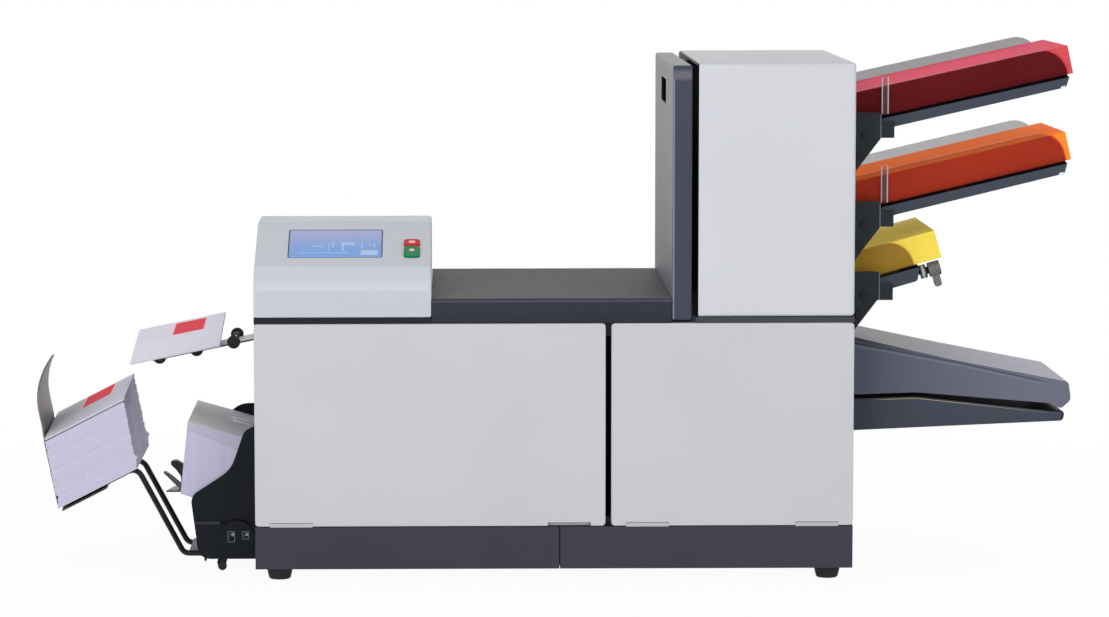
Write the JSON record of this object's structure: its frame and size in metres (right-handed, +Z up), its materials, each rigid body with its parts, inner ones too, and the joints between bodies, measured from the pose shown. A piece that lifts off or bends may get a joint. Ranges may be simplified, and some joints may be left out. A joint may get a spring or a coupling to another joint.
{
  "type": "folder inserter",
  "caption": "Desk folder inserter with a control pod, a feeder tower with paper trays, fold shells, an envelope hopper and a stacking tray.",
  "frame": {"origin": "on the table under the middle of the machine's overall box", "axes": "+X towards the paper feeders at the right, +Y away from the operator, +Z up"},
  "size_m": [1.4298, 0.42, 0.7251],
  "materials": {
    "white_plastic": "light grey textured moulding",
    "slate_plastic": "dark slate textured moulding",
    "dark_plastic": "near-black satin moulding",
    "black_rubber": "matt rubber",
    "steel": "plain sheet and turned steel",
    "black_steel": "black coated steel",
    "grey_steel": "dark grey coated sheet",
    "smoked_plastic": "smoked see-through sheet",
    "clear_plastic": "clear sheet",
    "screen": "blue lit screen",
    "red_button": "satin",
    "green_button": "satin",
    "red_paper": "coloured sheets",
    "orange_paper": "coloured sheets",
    "yellow_paper": "coloured inserts",
    "envelope_paper": "pale envelopes",
    "gear_plastic": "natural moulding",
    "tank_plastic": "milky moulding"
  },
  "bodies": {
    "cabinet": {"control_pod": "white_plastic", "tower_cover": "white_plastic", "rear_cover": "white_plastic", "plinth_left": "slate_plastic", "plinth_right": "slate_plastic", "deck": "slate_plastic", "fold_shell_lower": "slate_plastic", "feeder_tray_top": "slate_plastic", "feeder_tray_middle": "slate_plastic", "feeder_tray_short": "slate_plastic", "right_end_panel": "slate_plastic", "hopper_base": "dark_plastic", "feed_fingers": "dark_plastic", "left_end_panel": "dark_plastic", "foot_front_left": "black_rubber", "foot_front_right": "black_rubber", "foot_rear_left": "black_rubber", "foot_rear_right": "black_rubber", "frame_front": "steel", "frame_rear": "steel", "stacker_rods": "black_steel", "main_motor": "black_steel", "exit_deck": "grey_steel", "display_panel": "screen", "paper_stack_top": "red_paper", "paper_stack_middle": "orange_paper", "paper_stack_short": "yellow_paper", "hopper_envelopes": "envelope_paper", "finished_envelopes": "envelope_paper", "exit_envelope": "envelope_paper", "sealer_tank": "tank_plastic"},
    "door_left": {"door_left": "white_plastic"},
    "door_right": {"door_right": "white_plastic"},
    "transport_lid": {"transport_lid": "slate_plastic"},
    "collator_door": {"collator_door": "slate_plastic"},
    "start_button": {"start_button": "green_button"},
    "stop_button": {"stop_button": "red_button"},
    "fold_shell_upper": {"fold_shell_upper": "slate_plastic"},
    "hopper_cheek_front": {"hopper_cheek_front": "dark_plastic"},
    "hopper_cheek_rear": {"hopper_cheek_rear": "dark_plastic"},
    "hopper_lever": {"hopper_lever": "dark_plastic"},
    "hold_down_strip": {"hold_down_strip": "steel"},
    "stop_plate": {"stop_plate": "grey_steel"},
    "exit_wheels_1": {"exit_wheels_1": "black_rubber"},
    "exit_wheels_2": {"exit_wheels_2": "black_rubber"},
    "exit_wheels_3": {"exit_wheels_3": "black_rubber"},
    "guide_top_front": {"side_guide_top_front": "smoked_plastic", "clear_post_top": "clear_plastic"},
    "guide_top_rear": {"side_guide_top_rear": "smoked_plastic"},
    "guide_middle_front": {"side_guide_middle_front": "smoked_plastic", "clear_post_middle": "clear_plastic"},
    "guide_middle_rear": {"side_guide_middle_rear": "smoked_plastic"},
    "guide_short_front": {"side_guide_short_front": "smoked_plastic"},
    "guide_short_rear": {"side_guide_short_rear": "smoked_plastic"},
    "width_knob": {"width_knob": "steel"},
    "fold_roller_lower": {"fold_roller_lower": "black_rubber"},
    "fold_roller_upper": {"fold_roller_upper": "black_rubber"},
    "hand_wheel": {"hand_wheel": "gear_plastic"},
    "riser_roller": {"riser_roller": "black_rubber"},
    "transport_roller": {"transport_roller": "black_rubber"}
  },
  "joints": [
    {"name": "door_left_drop", "type": "hinge", "parent": "cabinet", "child": "door_left", "pos_m": [-0.168, -0.208, 0.0782], "axis": [1, 0, 0], "range_deg": [0, 90]},
    {"name": "door_right_drop", "type": "hinge", "parent": "cabinet", "child": "door_right", "pos_m": [0.2416, -0.208, 0.0782], "axis": [1, 0, 0], "range_deg": [0, 90]},
    {"name": "transport_lid_lift", "type": "hinge", "parent": "cabinet", "child": "transport_lid", "pos_m": [-0.0034, 0.208, 0.3645], "axis": [-1, 0, 0], "range_deg": [0, 75]},
    {"name": "collator_door_lift", "type": "slide", "parent": "cabinet", "child": "collator_door", "axis": [0, 0, 1], "range_m": [0, 0.03]},
    {"name": "start_button_press", "type": "slide", "parent": "cabinet", "child": "start_button", "axis": [0, 0.3677, -0.93], "range_m": [0, 0.0015], "stiffness_N_per_m": 300, "springref_m": -0.0005},
    {"name": "stop_button_press", "type": "slide", "parent": "cabinet", "child": "stop_button", "axis": [0, 0.3677, -0.93], "range_m": [0, 0.0015], "stiffness_N_per_m": 300, "springref_m": -0.0005},
    {"name": "fold_shell_lift", "type": "hinge", "parent": "cabinet", "child": "fold_shell_upper", "pos_m": [0.40828, 0, 0.3216], "axis": [0, -1, 0], "range_deg": [0, 25]},
    {"name": "hopper_front_slide", "type": "slide", "parent": "cabinet", "child": "hopper_cheek_front", "axis": [0, -1, 0], "range_m": [0, 0.012]},
    {"name": "hopper_rear_slide", "type": "slide", "parent": "cabinet", "child": "hopper_cheek_rear", "axis": [0, 1, 0], "range_m": [0, 0.012]},
    {"name": "hopper_lever_swing", "type": "hinge", "parent": "hopper_cheek_front", "child": "hopper_lever", "pos_m": [-0.45632, -0.12275, 0.026], "axis": [0, 1, 0], "range_deg": [-20, 20]},
    {"name": "hold_down_lift", "type": "hinge", "parent": "cabinet", "child": "hold_down_strip", "pos_m": [-0.39032, 0.02, 0.17855], "axis": [0, 1, 0], "range_deg": [0, 30]},
    {"name": "stop_plate_slide", "type": "slide", "parent": "cabinet", "child": "stop_plate", "axis": [-0.891, 0, -0.454], "range_m": [0, 0.02]},
    {"name": "exit_wheels_1_spin", "type": "hinge", "parent": "cabinet", "child": "exit_wheels_1", "pos_m": [-0.44202, 0, 0.3098], "axis": [0, 1, 0], "continuous": true},
    {"name": "exit_wheels_2_spin", "type": "hinge", "parent": "cabinet", "child": "exit_wheels_2", "pos_m": [-0.49366, 0, 0.29929], "axis": [0, 1, 0], "continuous": true},
    {"name": "exit_wheels_3_spin", "type": "hinge", "parent": "cabinet", "child": "exit_wheels_3", "pos_m": [-0.5453, 0, 0.28879], "axis": [0, 1, 0], "continuous": true},
    {"name": "guide_top_front_slide", "type": "slide", "parent": "cabinet", "child": "guide_top_front", "axis": [0, -1, 0], "range_m": [0, 0.008]},
    {"name": "guide_top_rear_slide", "type": "slide", "parent": "cabinet", "child": "guide_top_rear", "axis": [0, 1, 0], "range_m": [0, 0.008]},
    {"name": "guide_middle_front_slide", "type": "slide", "parent": "cabinet", "child": "guide_middle_front", "axis": [0, -1, 0], "range_m": [0, 0.008]},
    {"name": "guide_middle_rear_slide", "type": "slide", "parent": "cabinet", "child": "guide_middle_rear", "axis": [0, 1, 0], "range_m": [0, 0.008]},
    {"name": "width_knob_turn", "type": "hinge", "parent": "cabinet", "child": "width_knob", "pos_m": [0.50722, -0.095, 0.40897], "axis": [0.9641, 0, 0.2656], "range_deg": [0, 100]},
    {"name": "guide_short_front_slide", "type": "slide", "parent": "cabinet", "child": "guide_short_front", "axis": [0, -1, 0], "range_m": [0, 0.008]},
    {"name": "guide_short_rear_slide", "type": "slide", "parent": "cabinet", "child": "guide_short_rear", "axis": [0, 1, 0], "range_m": [0, 0.008]},
    {"name": "fold_roller_lower_spin", "type": "hinge", "parent": "cabinet", "child": "fold_roller_lower", "pos_m": [0.32968, 0, 0.2], "axis": [0, 1, 0], "continuous": true},
    {"name": "fold_roller_upper_spin", "type": "hinge", "parent": "cabinet", "child": "fold_roller_upper", "pos_m": [0.32968, 0, 0.236], "axis": [0, 1, 0], "continuous": true},
    {"name": "hand_wheel_spin", "type": "hinge", "parent": "cabinet", "child": "hand_wheel", "pos_m": [0.27568, 0, 0.2], "axis": [0, 1, 0], "continuous": true},
    {"name": "riser_roller_spin", "type": "hinge", "parent": "cabinet", "child": "riser_roller", "pos_m": [0.23168, 0, 0.52], "axis": [0, 1, 0], "continuous": true},
    {"name": "transport_roller_spin", "type": "hinge", "parent": "cabinet", "child": "transport_roller", "pos_m": [0.01968, 0, 0.3725], "axis": [0, 1, 0], "continuous": true}
  ],
  "couplings": [
    {"joint": "hopper_rear_slide", "follows": "hopper_front_slide", "ratio": 1},
    {"joint": "exit_wheels_2_spin", "follows": "exit_wheels_1_spin", "ratio": 1},
    {"joint": "exit_wheels_3_spin", "follows": "exit_wheels_1_spin", "ratio": 1},
    {"joint": "guide_top_rear_slide", "follows": "guide_top_front_slide", "ratio": 1},
    {"joint": "guide_middle_rear_slide", "follows": "guide_middle_front_slide", "ratio": 1},
    {"joint": "guide_short_front_slide", "follows": "width_knob_turn", "m_per_rad": 0.0045},
    {"joint": "guide_short_rear_slide", "follows": "width_knob_turn", "m_per_rad": 0.0045},
    {"joint": "fold_roller_upper_spin", "follows": "fold_roller_lower_spin", "ratio": -1},
    {"joint": "hand_wheel_spin", "follows": "fold_roller_lower_spin", "ratio": -0.5}
  ]
}
